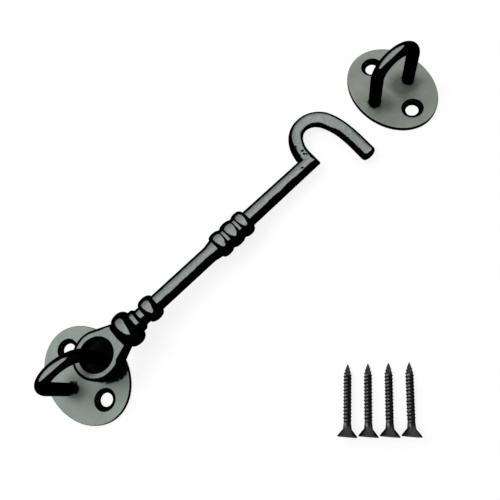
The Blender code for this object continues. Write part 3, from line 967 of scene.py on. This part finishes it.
def lay_screws(metal):
    first = make_screw(metal)
    pitch = 2 * SCREW_HEAD_RADIUS + SCREW_ROW_GAP
    lean = math.asin((SCREW_HEAD_RADIUS - SCREW_SHANK_RADIUS) / (SCREW_LENGTH - SCREW_POINT_LENGTH))
    height = SCREW_HEAD_RADIUS * math.cos(lean) + TABLE_CLEARANCE
    along = Vector((math.cos(SCREW_ROW_TURN), math.sin(SCREW_ROW_TURN), 0.0))
    row = Vector((math.sin(SCREW_ROW_TURN), -math.cos(SCREW_ROW_TURN), 0.0))
    row += along * math.tan(SCREW_ROW_SKEW)
    for i in range(SCREW_COUNT):
        number = i + 1
        step = pitch * (i - (SCREW_COUNT - 1) / 2)
        place = SCREW_ROW_PLACE + row * step - along * (SCREW_LENGTH / 2)
        place.z = height
        turn = Matrix.Rotation(SCREW_ROW_TURN, 4, "Z") @ Matrix.Rotation(math.pi / 2 + lean, 4, "Y")
        spin = Matrix.Rotation(1.1 * i, 4, "Z")
        screw = bpy.data.objects.new("wood_screw_%d" % number, first.data.copy())
        bpy.context.scene.collection.objects.link(screw)
        lie = Matrix.Translation(place) @ turn @ spin
        mount(screw, lie, "plates", "screw_black", "screw_%d" % number)
    bpy.data.objects.remove(first, do_unlink=True)


# Table, light and camera


# Strength of the world as a light, and of the white that is seen in the world and table
LIGHT_OF_WORLD = 0.2
WHITE_OF_WORLD = 0.95
WHITE_OF_TABLE = 0.85


def shown(tree):
    # One for what the camera sees, by itself or in metal or glass, and nought for light.
    rays = tree.nodes.new("ShaderNodeLightPath").outputs
    most = rays["Is Camera Ray"]
    for name in ("Is Glossy Ray", "Is Transmission Ray"):
        larger = tree.nodes.new("ShaderNodeMath")
        larger.operation = "MAXIMUM"
        tree.links.new(most, larger.inputs[0])
        tree.links.new(rays[name], larger.inputs[1])
        most = larger.outputs["Value"]
    return most


def make_table():
    bm = bmesh.new()
    bmesh.ops.create_grid(bm, x_segments=8, y_segments=8, size=3.0)
    bmesh.ops.translate(bm, verts=bm.verts, vec=(0.0, 0.0, -0.02 * MM))
    table = make_piece("table", bm)
    nodes = Nodes("table_white")
    colour = nodes.colours(nodes.noise(60 * MM), (0.9, 0.9, 0.9), (0.92, 0.92, 0.92))
    roughness = nodes.spread(nodes.noise(10 * MM), 0.3, 0.7, 0.85, 0.95)
    normal = nodes.bump(nodes.noise(2 * MM), 0.002 * MM)
    nodes.finish(colour, roughness, normal, 0.0)
    nodes.shader.inputs["Specular IOR Level"].default_value = 0.1
    # White to the camera, in metal and through glass, with a light shadow left in it.
    glow = nodes.add("ShaderNodeEmission")
    blend = nodes.add("ShaderNodeMixShader")
    nodes.join(nodes.math("MULTIPLY", shown(nodes.tree), WHITE_OF_TABLE), blend.inputs["Fac"])
    nodes.join(nodes.shader.outputs["BSDF"], blend.inputs[1])
    nodes.join(glow.outputs["Emission"], blend.inputs[2])
    nodes.join(blend.outputs["Shader"], nodes.tree.nodes["Material Output"].inputs["Surface"])
    table.data.materials.append(nodes.material)


def add_softbox(name, target, away, size, radiance):
    # A broad lamp. Bare metal doesn't mirror it, and shows the white studio in its place.
    width, height = size
    light = bpy.data.lights.new(name, "AREA")
    light.shape = "RECTANGLE"
    light.size = width
    light.size_y = height
    light.energy = radiance * math.pi * width * height
    lamp = bpy.data.objects.new(name, light)
    bpy.context.scene.collection.objects.link(lamp)
    lamp.location = target + away
    lamp.rotation_euler = (-away).to_track_quat("-Z", "Y").to_euler()
    lamp.visible_glossy = False


def light_scene():
    middle = Vector((85 * MM, -20 * MM, 0.0))
    add_softbox("overhead", middle, Vector((0.0, 0.35, 2.0)), size=(3.6, 4.0), radiance=1.0)
    add_softbox("window", middle, Vector((0.0, 2.2, 0.75)), size=(1.4, 1.0), radiance=2.2)
    add_softbox("key", middle, Vector((-0.5, 0.9, 1.7)), size=(0.8, 0.8), radiance=10.0)
    world = bpy.data.worlds.new("studio")
    bpy.context.scene.world = world
    world.use_nodes = True
    background = world.node_tree.nodes["Background"]
    background.inputs["Color"].default_value = (1.0, 1.0, 1.0, 1.0)
    strength = world.node_tree.nodes.new("ShaderNodeMapRange")
    strength.inputs["To Min"].default_value = LIGHT_OF_WORLD
    strength.inputs["To Max"].default_value = WHITE_OF_WORLD
    world.node_tree.links.new(shown(world.node_tree), strength.inputs["Value"])
    world.node_tree.links.new(strength.outputs["Result"], background.inputs["Strength"])


def aim_camera():
    place = Vector((68.74, -75.9, 186.25)) * MM
    target = Vector((83.47, -9.97, 0.0)) * MM
    camera_data = bpy.data.cameras.new("camera")
    camera_data.sensor_width = 36.0
    camera_data.lens = 34.14
    camera_data.clip_start = 0.01
    camera_data.clip_end = 20.0
    camera = bpy.data.objects.new("camera", camera_data)
    bpy.context.scene.collection.objects.link(camera)
    turn = (target - place).to_track_quat("-Z", "Y").to_matrix().to_4x4()
    roll = Matrix.Rotation(math.radians(-32.11), 4, "Z")
    camera.matrix_world = Matrix.Translation(place) @ turn @ roll
    bpy.context.scene.camera = camera


# The whole set


def lay_set(side, place, staple_place, face, swing, lean):
    # A plate with the staple that is riveted to it.
    plate = make_plate(side + "_plate", face, hole_black(side + "_hole"), staple_place)
    mount(plate, place, "plates", "plate_gunmetal", side + "_backplate")
    # Black rod with a painted highlight on its arch.
    rod = black_with_painted_highlight(side + "_rod_black", (0.3, 0.33, 0.33), (0.33, 0.36, 0.34))
    staple = make_staple(side + "_rod", rod, math.radians(swing), math.radians(lean))
    mount(staple, place @ Matrix.Translation(staple_place), "plates", "black_rod", side + "_staple")


def lay_pivot():
    here = Matrix.Identity(4)
    # Each plate's grey is set to how brightly that plate is lit, partly a painted reflection of the
    # overhead light.
    dark, light = (0.208, 0.24, 0.22), (0.245, 0.283, 0.263)
    face = plate_grey("pivot_gunmetal", dark, light, here, PIVOT_PAINTED_SHADE)
    lay_set("pivot", here, Vector(), face, swing=8, lean=-10)


def lay_keeper():
    there = Matrix.Translation(KEEPER_PLACE) @ Matrix.Rotation(KEEPER_TURN, 4, "Z")
    # Each plate's grey is set to how brightly that plate is lit, partly a painted reflection of the
    # overhead light.
    dark, light = (0.175, 0.192, 0.168), (0.228, 0.243, 0.217)
    face = plate_grey("keeper_gunmetal", dark, light, there, KEEPER_PAINTED_SHADE)
    lay_set("keeper", there, KEEPER_STAPLE_PLACE, face, swing=-18, lean=-10)


def lay_hook():
    # Black casting with painted highlights along its upper faces.
    metal = black_with_painted_highlight("black_casting", (0.33, 0.355, 0.362), (0.365, 0.41, 0.372))
    hook, corner = make_hook(metal)
    mount(hook, hook_lie(corner), "hook", "black_casting", "hook")


def build():
    lay_pivot()
    lay_keeper()
    lay_hook()
    lay_screws(screw_black("screw_black"))
    make_table()
    light_scene()
    aim_camera()


bpy.context.scene.view_settings.view_transform = "Standard"
build()
